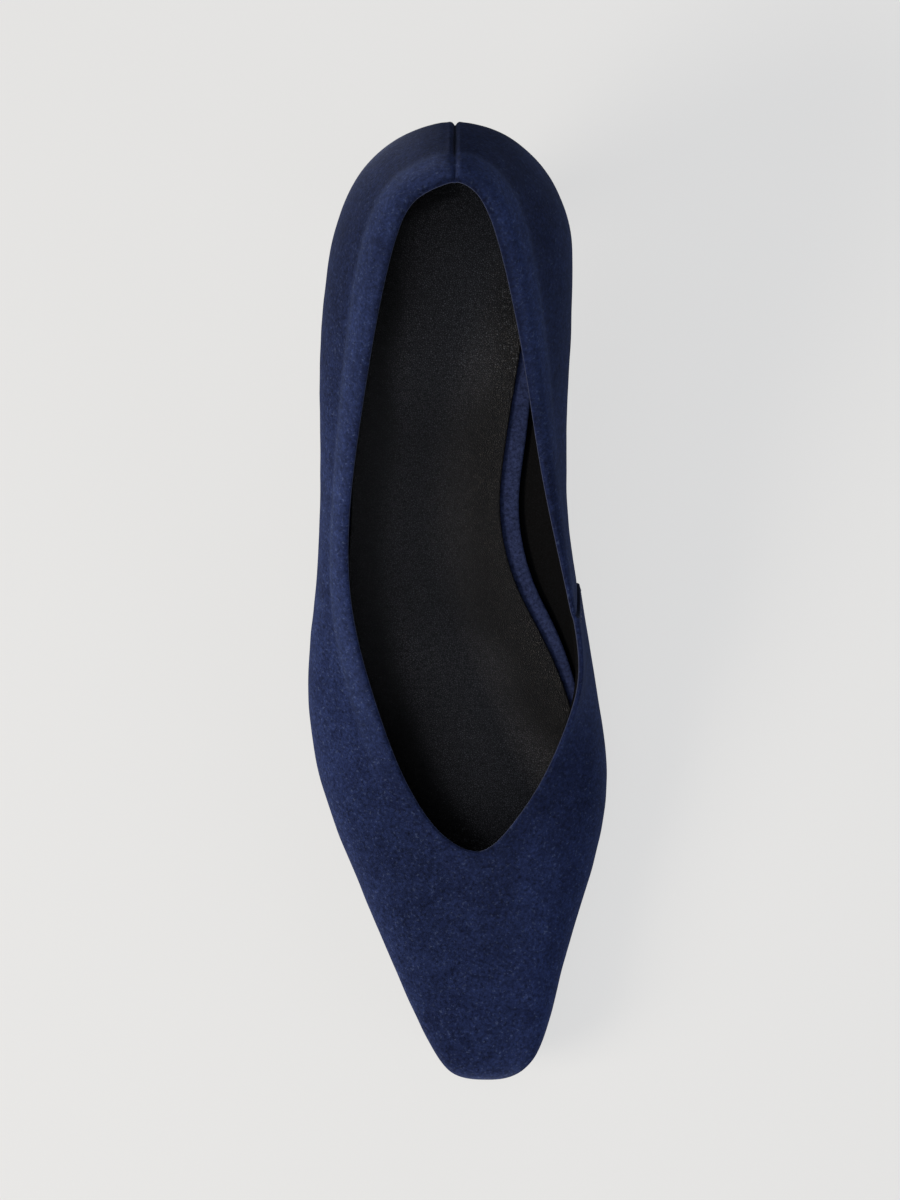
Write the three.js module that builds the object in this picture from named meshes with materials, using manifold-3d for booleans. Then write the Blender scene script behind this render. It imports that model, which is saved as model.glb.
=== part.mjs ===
// Kitten heel pump for the right foot, in navy suede: a low-cut court shoe with a
// square snip toe, a V throat, a lapped seam on the inner side and a seam up the back.
// Millimetres, +Z up. The toe points along -Y and the inner side of the foot is +X.
// The shoe stands on its forefoot and its heel tip at z = 0.
import * as THREE from 'three';
import { mergeVertices } from 'three/addons/utils/BufferGeometryUtils.js';
import Module from 'manifold-3d';

const wasm = await Module();
wasm.setup();

// Driving dimensions.
const shoeLength = 256; // heel back to toe tip, measured level
const ballWidth = 80; // across the ball, the scale of every width
const seatHeight = 50; // floor to the underside of the upper at the back
const quarterHeight = 54; // upper above the seat, at the back
const instepHeight = 34; // upper above its underside, at the throat
const toeSpring = 7; // lift of the toe tip
const wall = 1.8; // upper with its lining
const lastingMargin = 8; // upper turned in under the footbed
const collarRoll = 5.2; // band that curls inwards along the collar
const collarCurl = 36; // degrees that the band turns in
const seamStep = 0.7; // the vamp laps over the quarter by this much
const seamGroove = 0.7; // depth of the seam up the back
const soleThickness = 2.6; // at the forefoot
const shankThickness = 1.9; // of the sole at the heel breast
const soleInset = 0.7; // sole edge inside the upper's edge
const footbedThickness = 2.4;
const sockThickness = 1.0;
const sockBorder = 4.2; // footbed left bare beside the sock at the arch
const heelInset = 0.5; // heel top inside the upper's edge
const breastDistance = 52; // heel back to heel breast, at the seat
const breastHollow = 3.5; // how far the breast curves back in plan
const tipLength = 13;
const tipWidth = 12;
const tipSetback = 17.5; // heel back to the back of the tip
const tipOffset = -1.6; // tip's middle from the shoe's middle line
const liftHeight = 5.5; // rubber top piece under the heel
const gap = 0.3; // between pieces that touch

// Plan of the shoe, one row for each rib of the upper, from the back seam along the
// outer side, round the toe and back along the inner side. A rib climbs from the
// outline to the inner edge of the topline. Along is a share of the length from the
// heel back, and across a share of the ball width from the middle.
const RIBS = [
  { along: 0.0, across: -0.007, topAlong: 0.076, topAcross: -0.008 },
  { along: 0.014, across: -0.18, topAlong: 0.082, topAcross: -0.072 },
  { along: 0.055, across: -0.327, topAlong: 0.096, topAcross: -0.142 },
  { along: 0.12, across: -0.41, topAlong: 0.132, topAcross: -0.197 },
  { along: 0.191, across: -0.444, topAlong: 0.196, topAcross: -0.248 },
  { along: 0.282, across: -0.456, topAlong: 0.286, topAcross: -0.3 },
  { along: 0.384, across: -0.458, topAlong: 0.386, topAcross: -0.345 },
  { along: 0.467, across: -0.475, topAlong: 0.467, topAcross: -0.354 },
  { along: 0.541, across: -0.502, topAlong: 0.54, topAcross: -0.319 },
  { along: 0.605, across: -0.508, topAlong: 0.608, topAcross: -0.257 },
  { along: 0.68, across: -0.468, topAlong: 0.667, topAcross: -0.187 },
  { along: 0.755, across: -0.386, topAlong: 0.711, topAcross: -0.11 },
  { along: 0.84, across: -0.27, topAlong: 0.737, topAcross: -0.036 },
  { along: 0.925, across: -0.153, topAlong: 0.748, topAcross: 0.02 },
  { along: 0.973, across: -0.073, topAlong: 0.75, topAcross: 0.043 },
  { along: 0.994, across: -0.014, topAlong: 0.751, topAcross: 0.058 },
  { along: 1.0, across: 0.096, topAlong: 0.751, topAcross: 0.073 },
  { along: 0.994, across: 0.206, topAlong: 0.75, topAcross: 0.089 },
  { along: 0.973, across: 0.272, topAlong: 0.747, topAcross: 0.108 },
  { along: 0.925, across: 0.327, topAlong: 0.74, topAcross: 0.137 },
  { along: 0.84, across: 0.4, topAlong: 0.722, topAcross: 0.187 },
  { along: 0.755, across: 0.48, topAlong: 0.693, topAcross: 0.251 },
  { along: 0.675, across: 0.516, topAlong: 0.652, topAcross: 0.318 },
  { along: 0.616, across: 0.494, topAlong: 0.61, topAcross: 0.368 },
  { along: 0.55, across: 0.453, topAlong: 0.568, topAcross: 0.394 },
  { along: 0.481, across: 0.41, topAlong: 0.517, topAcross: 0.378 },
  { along: 0.41, across: 0.375, topAlong: 0.445, topAcross: 0.329 },
  { along: 0.335, across: 0.362, topAlong: 0.356, topAcross: 0.268 },
  { along: 0.252, across: 0.37, topAlong: 0.262, topAcross: 0.218 },
  { along: 0.171, across: 0.379, topAlong: 0.18, topAcross: 0.166 },
  { along: 0.1, across: 0.366, topAlong: 0.118, topAcross: 0.112 },
  { along: 0.045, across: 0.279, topAlong: 0.09, topAcross: 0.068 },
  { along: 0.012, across: 0.148, topAlong: 0.08, topAcross: 0.034 },
];
const toeRib = 16; // row of the toe tip

// Underside of the upper, from the side: seat is a share of the rise to the heel seat,
// spring a share of the toe spring. Between the two the shoe lies flat on the floor.
const UNDERSIDE = [
  { along: 0.0, seat: 1.0, spring: 0.0 },
  { along: 0.1, seat: 0.955, spring: 0.0 },
  { along: 0.2, seat: 0.85, spring: 0.0 },
  { along: 0.3, seat: 0.672, spring: 0.0 },
  { along: 0.4, seat: 0.428, spring: 0.0 },
  { along: 0.5, seat: 0.196, spring: 0.0 },
  { along: 0.56, seat: 0.084, spring: 0.0 },
  { along: 0.61, seat: 0.024, spring: 0.0 },
  { along: 0.66, seat: 0.0, spring: 0.0 },
  { along: 0.76, seat: 0.0, spring: 0.0 },
  { along: 0.85, seat: 0.0, spring: 0.22 },
  { along: 0.93, seat: 0.0, spring: 0.6 },
  { along: 1.0, seat: 0.0, spring: 1.0 },
];

// Cross-sections of the last, a row for each station of the outline and side.
// tuck: share of the ball width by which the wall tucks in to the feather edge.
// wide: share of the wall's height at which it is widest.
// top: topline height, a share of the local collar height.
// lean: degrees from upright at which the wall reaches the collar.
// roll, margin, border: shares of the collar roll, lasting margin and sock border.
const OUTER_SIDE = [
  { along: 0.0, tuck: 0.05, wide: 0.31, top: 1.04, lean: 27, roll: 1.0, margin: 1.0, border: 0.1 },
  { along: 0.12, tuck: 0.055, wide: 0.33, top: 1.01, lean: 30, roll: 1.0, margin: 1.0, border: 0.1 },
  { along: 0.25, tuck: 0.062, wide: 0.38, top: 0.96, lean: 28, roll: 0.85, margin: 1.0, border: 0.1 },
  { along: 0.38, tuck: 0.07, wide: 0.43, top: 0.99, lean: 22, roll: 0.7, margin: 1.0, border: 0.1 },
  { along: 0.48, tuck: 0.064, wide: 0.38, top: 1.03, lean: 27, roll: 0.65, margin: 1.0, border: 0.1 },
  { along: 0.6, tuck: 0.05, wide: 0.29, top: 1.07, lean: 44, roll: 0.45, margin: 1.0, border: 0.1 },
  { along: 0.68, tuck: 0.042, wide: 0.27, top: 1.04, lean: 55, roll: 0.3, margin: 1.0, border: 0.1 },
  { along: 0.76, tuck: 0.036, wide: 0.26, top: 1.01, lean: 62, roll: 0.25, margin: 0.9, border: 0.1 },
  { along: 0.9, tuck: 0.03, wide: 0.26, top: 1.0, lean: 64, roll: 0.25, margin: 0.6, border: 0.1 },
  { along: 1.0, tuck: 0.028, wide: 0.26, top: 1.0, lean: 64, roll: 0.25, margin: 0.4, border: 0.1 },
];
const INNER_SIDE = [
  { along: 0.0, tuck: 0.05, wide: 0.31, top: 1.04, lean: 27, roll: 1.0, margin: 1.0, border: 0.3 },
  { along: 0.12, tuck: 0.058, wide: 0.33, top: 1.01, lean: 27, roll: 1.0, margin: 1.0, border: 0.6 },
  { along: 0.22, tuck: 0.08, wide: 0.38, top: 0.97, lean: 25, roll: 0.9, margin: 1.0, border: 1.0 },
  { along: 0.32, tuck: 0.118, wide: 0.46, top: 0.97, lean: 20, roll: 0.8, margin: 1.0, border: 1.0 },
  { along: 0.4, tuck: 0.15, wide: 0.5, top: 0.98, lean: 13, roll: 0.6, margin: 1.0, border: 0.95 },
  { along: 0.46, tuck: 0.13, wide: 0.48, top: 0.97, lean: 5, roll: 0.4, margin: 1.0, border: 0.9 },
  { along: 0.51, tuck: 0.08, wide: 0.44, top: 0.96, lean: 3, roll: 0.25, margin: 1.0, border: 0.85 },
  { along: 0.56, tuck: 0.052, wide: 0.39, top: 0.96, lean: 9, roll: 0.25, margin: 1.0, border: 0.6 },
  { along: 0.64, tuck: 0.04, wide: 0.33, top: 0.98, lean: 32, roll: 0.25, margin: 1.0, border: 0.3 },
  { along: 0.76, tuck: 0.034, wide: 0.28, top: 0.99, lean: 54, roll: 0.25, margin: 0.9, border: 0.3 },
  { along: 0.9, tuck: 0.03, wide: 0.26, top: 1.0, lean: 63, roll: 0.25, margin: 0.6, border: 0.3 },
  { along: 1.0, tuck: 0.028, wide: 0.26, top: 1.0, lean: 64, roll: 0.25, margin: 0.4, border: 0.3 },
];

// The covered heel, along its height from the tip to the seat: how far each level has
// widened, and how far its back and front have run out, as shares of tip to seat.
const HEEL = [
  { along: 0.0, wide: 0.0, back: 0.0, front: 0.0 },
  { along: 0.25, wide: 0.035, back: 0.045, front: 0.055 },
  { along: 0.5, wide: 0.15, back: 0.18, front: 0.22 },
  { along: 0.7, wide: 0.37, back: 0.41, front: 0.45 },
  { along: 0.85, wide: 0.67, back: 0.69, front: 0.71 },
  { along: 0.95, wide: 0.935, back: 0.935, front: 0.935 },
  { along: 1.0, wide: 1.0, back: 1.0, front: 1.0 },
];

// Where the seams lie, in ribs counted from the back, and how wide they are.
const sideSeamRib = 25 + 1 / 6;
const sideSeamWidth = 0.025;
const sideSeamFade = 2.5;
const backSeamWidth = 0.09;

// How finely the surfaces are divided.
const columnsPerRib = 3;
const seatSteps = 32;
const breastSteps = 12;
const heelLevels = 14;
const slabSteps = 54;

const lerp = THREE.MathUtils.lerp;
const smooth = THREE.MathUtils.smoothstep;
const radians = THREE.MathUtils.degToRad;

// A cubic through two values a step apart, with the slopes at both ends.
function hermite(t, step, from, to, fromSlope, toSlope) {
  const rise = t * t * (3 - 2 * t);
  return lerp(from, to, rise) + step * t * (1 - t) * ((1 - t) * fromSlope - t * toSlope);
}

// A smooth curve through one column of a table, that never overshoots its rows.
function track(rows, column) {
  const last = rows.length - 1;
  const slope = (i) =>
    (rows[i + 1][column] - rows[i][column]) / (rows[i + 1].along - rows[i].along);
  const slopes = rows.map((row, i) => {
    if (i === 0) return slope(0);
    if (i === last) return slope(last - 1);
    const [before, after] = [slope(i - 1), slope(i)];
    return before * after <= 0 ? 0 : (2 * before * after) / (before + after);
  });
  return (along) => {
    const place = THREE.MathUtils.clamp(along, 0, 1);
    let i = 0;
    while (i < last - 1 && place > rows[i + 1].along) i += 1;
    const step = rows[i + 1].along - rows[i].along;
    const t = (place - rows[i].along) / step;
    return hermite(t, step, rows[i][column], rows[i + 1][column], slopes[i], slopes[i + 1]);
  };
}

const yAt = (along) => shoeLength * (0.5 - along);
const alongAt = (y) => 0.5 - y / shoeLength;

// A closed curve with even curvature through one column of the ribs.
const ribCount = RIBS.length;
const ribSteps = RIBS.map((rib, i) => {
  const next = RIBS[(i + 1) % ribCount];
  return Math.hypot(yAt(rib.along) - yAt(next.along), (next.across - rib.across) * ballWidth);
});
function ringCurve(column) {
  const value = RIBS.map((rib) => rib[column]);
  const slopes = new Array(ribCount).fill(0);
  const passes = 80; // enough for the slopes to settle
  for (let pass = 0; pass < passes; pass += 1) {
    for (let i = 0; i < ribCount; i += 1) {
      const before = (i + ribCount - 1) % ribCount;
      const after = (i + 1) % ribCount;
      const [a, b] = [ribSteps[before], ribSteps[i]];
      const pull =
        3 * ((a * (value[after] - value[i])) / b + (b * (value[i] - value[before])) / a);
      slopes[i] = (pull - b * slopes[before] - a * slopes[after]) / (2 * (a + b));
    }
  }
  return (u) => {
    const i = Math.floor(u) % ribCount;
    const next = (i + 1) % ribCount;
    const t = u - Math.floor(u);
    return hermite(t, ribSteps[i], value[i], value[next], slopes[i], slopes[next]);
  };
}

const seatShare = track(UNDERSIDE, 'seat');
const springShare = track(UNDERSIDE, 'spring');
const treadHeight = soleThickness + gap; // underside of the upper over the tread
const undersideAt = (y) =>
  treadHeight +
  seatShare(alongAt(y)) * (seatHeight - treadHeight) +
  springShare(alongAt(y)) * toeSpring;

const plan = {};
for (const column of ['along', 'across', 'topAlong', 'topAcross']) {
  plan[column] = ringCurve(column);
}
const wrap = (u) => (u + ribCount) % ribCount;
const outlineAt = (u) =>
  new THREE.Vector3(plan.across(wrap(u)) * ballWidth, yAt(plan.along(wrap(u))), 0);
const toplineAt = (u) =>
  new THREE.Vector3(plan.topAcross(wrap(u)) * ballWidth, yAt(plan.topAlong(wrap(u))), 0);

const [outerSide, innerSide] = [OUTER_SIDE, INNER_SIDE].map((rows) => {
  const curves = {};
  for (const column of ['tuck', 'wide', 'top', 'lean', 'roll', 'margin', 'border']) {
    curves[column] = track(rows, column);
  }
  return curves;
});
const sectionAt = (u, column) =>
  (wrap(u) < toeRib ? outerSide : innerSide)[column](plan.along(wrap(u)));

// The level direction into the shoe, square to the outline or the topline.
function inwardAt(u, lineAt = outlineAt) {
  const step = 0.02;
  const run = lineAt(u + step).sub(lineAt(u - step));
  return new THREE.Vector3(-run.y, run.x, 0).normalize();
}

// The feather edge, where the wall meets the sole, or a point inside it.
function featherAt(u, inset = 0) {
  const tuck = sectionAt(u, 'tuck') * ballWidth;
  const point = outlineAt(u).addScaledVector(inwardAt(u), tuck + inset);
  return point.setZ(undersideAt(point.y));
}

// One rib of the outside: turned-in margin, feather edge, wall, collar roll and top.
function ribAt(u) {
  const feather = featherAt(u);
  const margin = featherAt(u, lastingMargin * sectionAt(u, 'margin'));
  const wide = outlineAt(u);
  const edge = toplineAt(u);
  // A wall meets the topline squarely, but the vamp runs along its rib.
  const along = edge.clone().sub(wide);
  const vamp = smooth(along.length(), 8, 30);
  const inward = inwardAt(u, toplineAt).lerp(along.normalize(), vamp).normalize();
  const heading = (angle) =>
    inward.clone().multiplyScalar(Math.sin(angle)).setZ(Math.cos(angle));
  const lean = radians(sectionAt(u, 'lean'));
  const roll = sectionAt(u, 'roll');
  const turned = lean + radians(collarCurl) * roll;

  const collar = lerp(quarterHeight, instepHeight, smooth(alongAt(edge.y), 0, 0.5));
  const top = edge.clone().addScaledVector(inward, -wall * Math.cos(turned));
  top.z = undersideAt(edge.y) + sectionAt(u, 'top') * collar;
  wide.z = lerp(feather.z, top.z, sectionAt(u, 'wide'));
  const ridge = top.clone().addScaledVector(heading(turned), -collarRoll * roll);

  // A steep wall keeps its curve even; a low vamp turns over early and then runs flat.
  const span = ridge.distanceTo(wide);
  const level = Math.hypot(ridge.x - wide.x, ridge.y - wide.y);
  const flat = smooth(level / span, 0.55, 0.95);
  const rise = span * lerp(0.4, 0.16, flat);
  const reach = span * lerp(0.34, 0.5, flat);
  const tucked = new THREE.CubicBezierCurve3(
    feather,
    feather.clone().lerp(wide, 0.7).setZ(lerp(feather.z, wide.z, 0.34)),
    wide.clone().setZ(lerp(feather.z, wide.z, 0.58)),
    wide,
  );
  const arched = new THREE.CubicBezierCurve3(
    wide,
    wide.clone().setZ(wide.z + rise),
    ridge.clone().addScaledVector(heading(lean), -reach),
    ridge,
  );
  const rolled = (share) =>
    ridge
      .clone()
      .lerp(top, share)
      .addScaledVector(heading(turned - Math.PI / 2), collarCrown * roll * Math.sin(Math.PI * share));
  const face = [
    ...[0.4, 0.7].map((share) => tucked.getPoint(share)),
    ...[0, 0.14, 0.28, 0.42, 0.56, 0.7, 0.85, 1].map((share) => arched.getPoint(share)),
    ...[0.35, 0.7].map(rolled),
    top,
  ];
  return { margin, feather, face };
}
const collarCrown = 0.35; // how far the collar band bellies out

// Columns of the upper: even steps between ribs, and close ones beside the seams.
function upperColumns() {
  const columns = [];
  for (let i = 0; i < ribCount * columnsPerRib; i += 1) columns.push(i / columnsPerRib);
  for (const offset of [-2, -1, 1, 2]) columns.push(wrap(offset * backSeamWidth));
  columns.push(sideSeamRib - sideSeamWidth, sideSeamRib + sideSeamWidth);
  return columns.sort((a, b) => a - b);
}

// How far the outside stands proud: the lapped vamp, less the groove up the back.
function reliefAt(u) {
  const fromBack = Math.min(u, ribCount - u) / backSeamWidth;
  const lapped = 1 - smooth(u, sideSeamRib - sideSeamWidth, sideSeamRib + sideSeamWidth);
  const fade = smooth(u, sideSeamRib - sideSeamFade, sideSeamRib);
  return seamStep * lapped * fade - seamGroove * Math.exp(-fromBack * fromBack);
}

// Outward directions of a grid of points whose rows run round the shoe.
function normalsOf(grid) {
  const columns = grid[0].length;
  return grid.map((row, r) =>
    row.map((_, c) => {
      const around = row[(c + 1) % columns].clone().sub(row[(c + columns - 1) % columns]);
      const above = grid[Math.min(r + 1, grid.length - 1)][c];
      const below = grid[Math.max(r - 1, 0)][c];
      return around.cross(above.clone().sub(below)).normalize();
    }),
  );
}

// Triangles between one ring of points and the next.
function bandIndex(ring, nextRing, columns) {
  const index = [];
  for (let c = 0; c < columns; c += 1) {
    const d = (c + 1) % columns;
    const [a, b] = [ring * columns + c, ring * columns + d];
    const [e, f] = [nextRing * columns + c, nextRing * columns + d];
    index.push(a, b, e, b, f, e);
  }
  return index;
}
function geometryFrom(points, index) {
  const geometry = new THREE.BufferGeometry();
  const positions = points.flatMap((p) => [p.x, p.y, p.z]);
  geometry.setAttribute('position', new THREE.Float32BufferAttribute(positions, 3));
  return geometry.setIndex(index);
}

// The upper: one wall all round, open at the collar and underneath.
function upperGeometry() {
  const columns = upperColumns();
  const ribs = columns.map(ribAt);
  const feather = ribs.map((rib) => rib.feather);
  const faces = ribs[0].face.map((_, r) => ribs.map((rib) => rib.face[r]));
  const normals = normalsOf([feather, ...faces]).slice(1);
  const offset = (row, r, distanceAt) =>
    row.map((p, c) => p.clone().addScaledVector(normals[r][c], distanceAt(columns[c])));
  const outer = faces.map((row, r) => offset(row, r, reliefAt));
  const inner = faces.map((row, r) => offset(row, r, () => -wall));

  // The rim between the two faces is rounded over.
  const last = faces.length - 1;
  const rimCrown = 0.35 * wall;
  const rim = outer[last].map((p, c) => {
    const out = faces[last][c].clone().sub(faces[last - 1][c]).normalize();
    return p.clone().lerp(inner[last][c], 0.5).addScaledVector(out, rimCrown);
  });
  // Inside corner over the feather edge, where the inner wall meets the margin's top.
  const corner = ribs.map((rib, c) => {
    const climb = faces[0][c].clone().sub(rib.feather);
    const away = Math.atan2(Math.hypot(climb.x, climb.y), climb.z);
    const inset = (wall * (1 - Math.sin(away))) / Math.cos(away);
    const point = featherAt(columns[c], inset);
    return point.setZ(point.z + wall);
  });
  const margin = ribs.map((rib) => rib.margin);
  const marginTop = margin.map((p) => p.clone().setZ(p.z + wall));
  const rings = [margin, feather, ...outer, rim, ...inner.reverse(), corner, marginTop];
  const index = rings.flatMap((_, r) => bandIndex(r, (r + 1) % rings.length, columns.length));
  return geometryFrom(rings.flat(), index);
}

// Turns a closed geometry into a solid for cutting and joining, and back.
function solidOf(geometry) {
  const bare = geometry.index ? geometry.toNonIndexed() : geometry.clone();
  bare.deleteAttribute('normal');
  bare.deleteAttribute('uv');
  const merged = mergeVertices(bare, 1e-4);
  return new wasm.Manifold(
    new wasm.Mesh({
      numProp: 3,
      vertProperties: merged.attributes.position.array,
      triVerts: new Uint32Array(merged.index.array),
    }),
  );
}
function geometryOf(solid) {
  const mesh = solid.getMesh();
  const geometry = new THREE.BufferGeometry();
  geometry.setAttribute('position', new THREE.BufferAttribute(mesh.vertProperties, 3));
  return geometry.setIndex(new THREE.BufferAttribute(mesh.triVerts, 1));
}

// An upright prism on a plan outline, through the whole height of the shoe.
const spare = 20;
function prism(outline) {
  const shape = new THREE.Shape(outline.map((p) => new THREE.Vector2(p.x, p.y)));
  const depth = seatHeight + quarterHeight + 2 * spare;
  const geometry = new THREE.ExtrudeGeometry(shape, { depth, bevelEnabled: false });
  return solidOf(geometry.translate(0, 0, -spare));
}

// A slab between two lines of the side view, running right across the shoe.
function slab(lower, upper) {
  const overrun = 0.04;
  const line = Array.from({ length: slabSteps + 1 }, (_, i) =>
    yAt(lerp(-overrun, 1 + overrun, i / slabSteps)),
  );
  const shape = new THREE.Shape([
    ...line.map((y) => new THREE.Vector2(y, lower(y))),
    ...line.reverse().map((y) => new THREE.Vector2(y, upper(y))),
  ]);
  const depth = 2 * ballWidth;
  const geometry = new THREE.ExtrudeGeometry(shape, { depth, bevelEnabled: false });
  const turn = new THREE.Matrix4().makeBasis(
    new THREE.Vector3(0, 1, 0),
    new THREE.Vector3(0, 0, 1),
    new THREE.Vector3(1, 0, 0),
  );
  return solidOf(geometry.applyMatrix4(turn).translate(-ballWidth, 0, 0));
}

// The feather edge in plan, moved in by an inset.
function featherOutline(insetAt) {
  return Array.from({ length: ribCount * columnsPerRib }, (_, i) =>
    featherAt(i / columnsPerRib, insetAt(i / columnsPerRib)),
  );
}

// Plan of the heel's top: the feather edge behind the breast, closed by a breast that
// curves back. It runs from the inner corner round the back to the outer corner.
function seatOutline() {
  const breastY = yAt(breastDistance / shoeLength);
  const cornerRib = (from, step) => {
    let u = from;
    while (featherAt(u).y > breastY) u += step;
    return u;
  };
  const fine = 0.01;
  const inner = cornerRib(-1, -fine);
  const outer = cornerRib(1, fine);
  const points = [];
  for (let i = 0; i <= seatSteps; i += 1) {
    points.push(featherAt(lerp(inner, outer, i / seatSteps), heelInset));
  }
  for (let i = 1; i < breastSteps; i += 1) {
    const share = i / breastSteps;
    const point = points[seatSteps].clone().lerp(points[0], share);
    point.y += breastHollow * Math.sin(Math.PI * share);
    points.push(point);
  }
  return points;
}

// Outsole: from the toe to the heel breast, thinning along the shank.
function outsoleGeometry() {
  const breastShare = breastDistance / shoeLength;
  const above = (y) => undersideAt(y) - gap;
  const below = (y) =>
    above(y) - lerp(shankThickness, soleThickness, smooth(alongAt(y), breastShare, 0.6));
  const seat = seatOutline();
  const breast = [...seat.slice(seatSteps), seat[0]];
  const behind = [
    seat[0].clone().setX(seat[0].x + ballWidth),
    new THREE.Vector3(ballWidth, shoeLength, 0),
    new THREE.Vector3(-ballWidth, shoeLength, 0),
    breast[0].clone().setX(breast[0].x - ballWidth),
    ...breast,
  ].map((p) => p.clone().setY(p.y - gap));
  const whole = prism(featherOutline(() => soleInset)).intersect(slab(below, above));
  return geometryOf(whole.subtract(prism(behind)));
}

// Plan of the heel tip, point for point with the seat: round behind, square in front.
function tipOutline(seat) {
  const corner = 0.2 * Math.PI; // how far below its middle the tip's front corners lie
  const squareness = 0.5;
  const centre = yAt(0) - tipSetback - tipWidth / 2;
  return seat.map((_, i) => {
    const round = i <= seatSteps;
    const share = round ? i / seatSteps : (i - seatSteps) / breastSteps;
    const angle = round
      ? lerp(-corner, Math.PI + corner, share)
      : lerp(Math.PI + corner, 2 * Math.PI - corner, share);
    const [cos, sin] = [Math.cos(angle), Math.sin(angle)];
    const power = sin < 0 ? squareness : 1;
    const reach = sin < 0 ? tipLength - tipWidth / 2 : tipWidth / 2;
    const x = Math.sign(cos) * Math.abs(cos) ** power * (tipWidth / 2);
    const y = Math.sign(sin) * Math.abs(sin) ** power * reach;
    return new THREE.Vector3(tipOffset + x, centre + y, 0);
  });
}

// Covered heel: a slim stem that flares into the seat, under the upper's turned-in edge.
function heelGeometry() {
  const widen = track(HEEL, 'wide');
  const runBack = track(HEEL, 'back');
  const runForward = track(HEEL, 'front');
  const seat = seatOutline();
  const tip = tipOutline(seat);
  const back = Math.max(...seat.map((p) => p.y));
  const front = Math.min(...seat.map((p) => p.y));
  const bottom = liftHeight + gap;
  const topAt = (p) => p.clone().setZ(undersideAt(p.y) - gap);
  const rings = [];
  for (let level = 0; level <= heelLevels; level += 1) {
    const share = level / heelLevels;
    rings.push(
      seat.map((p, i) => {
        const behind = (p.y - front) / (back - front);
        const x = lerp(tip[i].x, p.x, widen(share));
        const y = lerp(tip[i].y, p.y, lerp(runForward(share), runBack(share), behind));
        return new THREE.Vector3(x, y, lerp(bottom, topAt(p).z, share));
      }),
    );
  }
  // The top closes in rings towards its middle, so that it follows the seat.
  const middleOf = (ring) =>
    ring.reduce((sum, p) => sum.addScaledVector(p, 1 / ring.length), new THREE.Vector3());
  const seatMiddle = middleOf(seat);
  for (const share of [0.3, 0.65]) {
    rings.push(seat.map((p) => topAt(p.clone().lerp(seatMiddle, share))));
  }
  const columns = seat.length;
  const index = rings.slice(1).flatMap((_, r) => bandIndex(r, r + 1, columns));
  const crown = (rings.length - 1) * columns;
  const topMiddle = rings.length * columns;
  const footMiddle = topMiddle + 1;
  for (let c = 0; c < columns; c += 1) {
    const d = (c + 1) % columns;
    index.push(crown + c, crown + d, topMiddle, d, c, footMiddle);
  }
  return geometryFrom([...rings.flat(), topAt(seatMiddle), middleOf(rings[0])], index);
}

function topLiftGeometry() {
  const outline = tipOutline(seatOutline()).map((p) => new THREE.Vector2(p.x, p.y));
  const depth = liftHeight;
  return new THREE.ExtrudeGeometry(new THREE.Shape(outline), { depth, bevelEnabled: false });
}

// Footbed on the turned-in margin, and the sock on it.
const footbedInset = wall + gap;
const footbedBase = (y) => undersideAt(y) + wall + gap;
const footbedTop = (y) => footbedBase(y) + footbedThickness;
function footbedGeometry() {
  const outline = featherOutline(() => footbedInset);
  return geometryOf(prism(outline).intersect(slab(footbedBase, footbedTop)));
}
function sockGeometry() {
  const outline = featherOutline((u) => footbedInset + sockBorder * sectionAt(u, 'border'));
  const base = (y) => footbedTop(y) + gap;
  return geometryOf(prism(outline).intersect(slab(base, (y) => base(y) + sockThickness)));
}

const suede = new THREE.MeshStandardMaterial({ color: 0x262c54, roughness: 0.95, metalness: 0 });
const leather = new THREE.MeshStandardMaterial({ color: 0x18181b, roughness: 0.5, metalness: 0 });
const sole = new THREE.MeshStandardMaterial({ color: 0x1d1b1a, roughness: 0.55, metalness: 0 });
const rubber = new THREE.MeshStandardMaterial({ color: 0x141414, roughness: 0.7, metalness: 0 });

const shoe = new THREE.Group();
function addPiece(name, geometry, material) {
  const mesh = new THREE.Mesh(geometry, material);
  mesh.name = name;
  shoe.add(mesh);
}
addPiece('upper', upperGeometry(), suede);
addPiece('outsole', outsoleGeometry(), sole);
addPiece('footbed', footbedGeometry(), suede);
addPiece('sock', sockGeometry(), leather);
addPiece('heel', heelGeometry(), suede);
addPiece('top_lift', topLiftGeometry(), rubber);

export default shoe;
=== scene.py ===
import math

import bmesh
import bpy
import numpy as np
from mathutils import Matrix, Vector


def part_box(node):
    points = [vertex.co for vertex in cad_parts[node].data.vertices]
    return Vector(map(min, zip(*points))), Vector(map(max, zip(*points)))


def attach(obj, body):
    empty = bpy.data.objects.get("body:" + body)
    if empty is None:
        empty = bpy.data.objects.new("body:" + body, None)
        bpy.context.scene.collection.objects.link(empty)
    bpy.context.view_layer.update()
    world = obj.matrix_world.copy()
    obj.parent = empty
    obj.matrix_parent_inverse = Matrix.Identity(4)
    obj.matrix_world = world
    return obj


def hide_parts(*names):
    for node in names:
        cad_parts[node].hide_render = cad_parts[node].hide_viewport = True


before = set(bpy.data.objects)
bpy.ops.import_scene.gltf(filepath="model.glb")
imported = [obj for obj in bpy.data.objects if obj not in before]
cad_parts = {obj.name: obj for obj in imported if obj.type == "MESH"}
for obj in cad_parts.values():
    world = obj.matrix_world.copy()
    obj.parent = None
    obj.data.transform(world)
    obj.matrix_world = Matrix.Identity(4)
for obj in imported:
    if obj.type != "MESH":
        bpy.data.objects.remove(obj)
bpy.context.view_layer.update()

MM = 0.001
# Levels of the subdivision that rounds the pieces.
SMOOTHING = 2

# The upper's grid in the CAD frame: rings run round the shoe, columns climb over the wall.
RIBS = 33
COLUMNS_PER_RIB = 3
BACK_SEAM_STEP = 0.09
SIDE_SEAM_RIB = 25 + 1 / 6
SIDE_SEAM_STEP = 0.025
RINGS = 31
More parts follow.
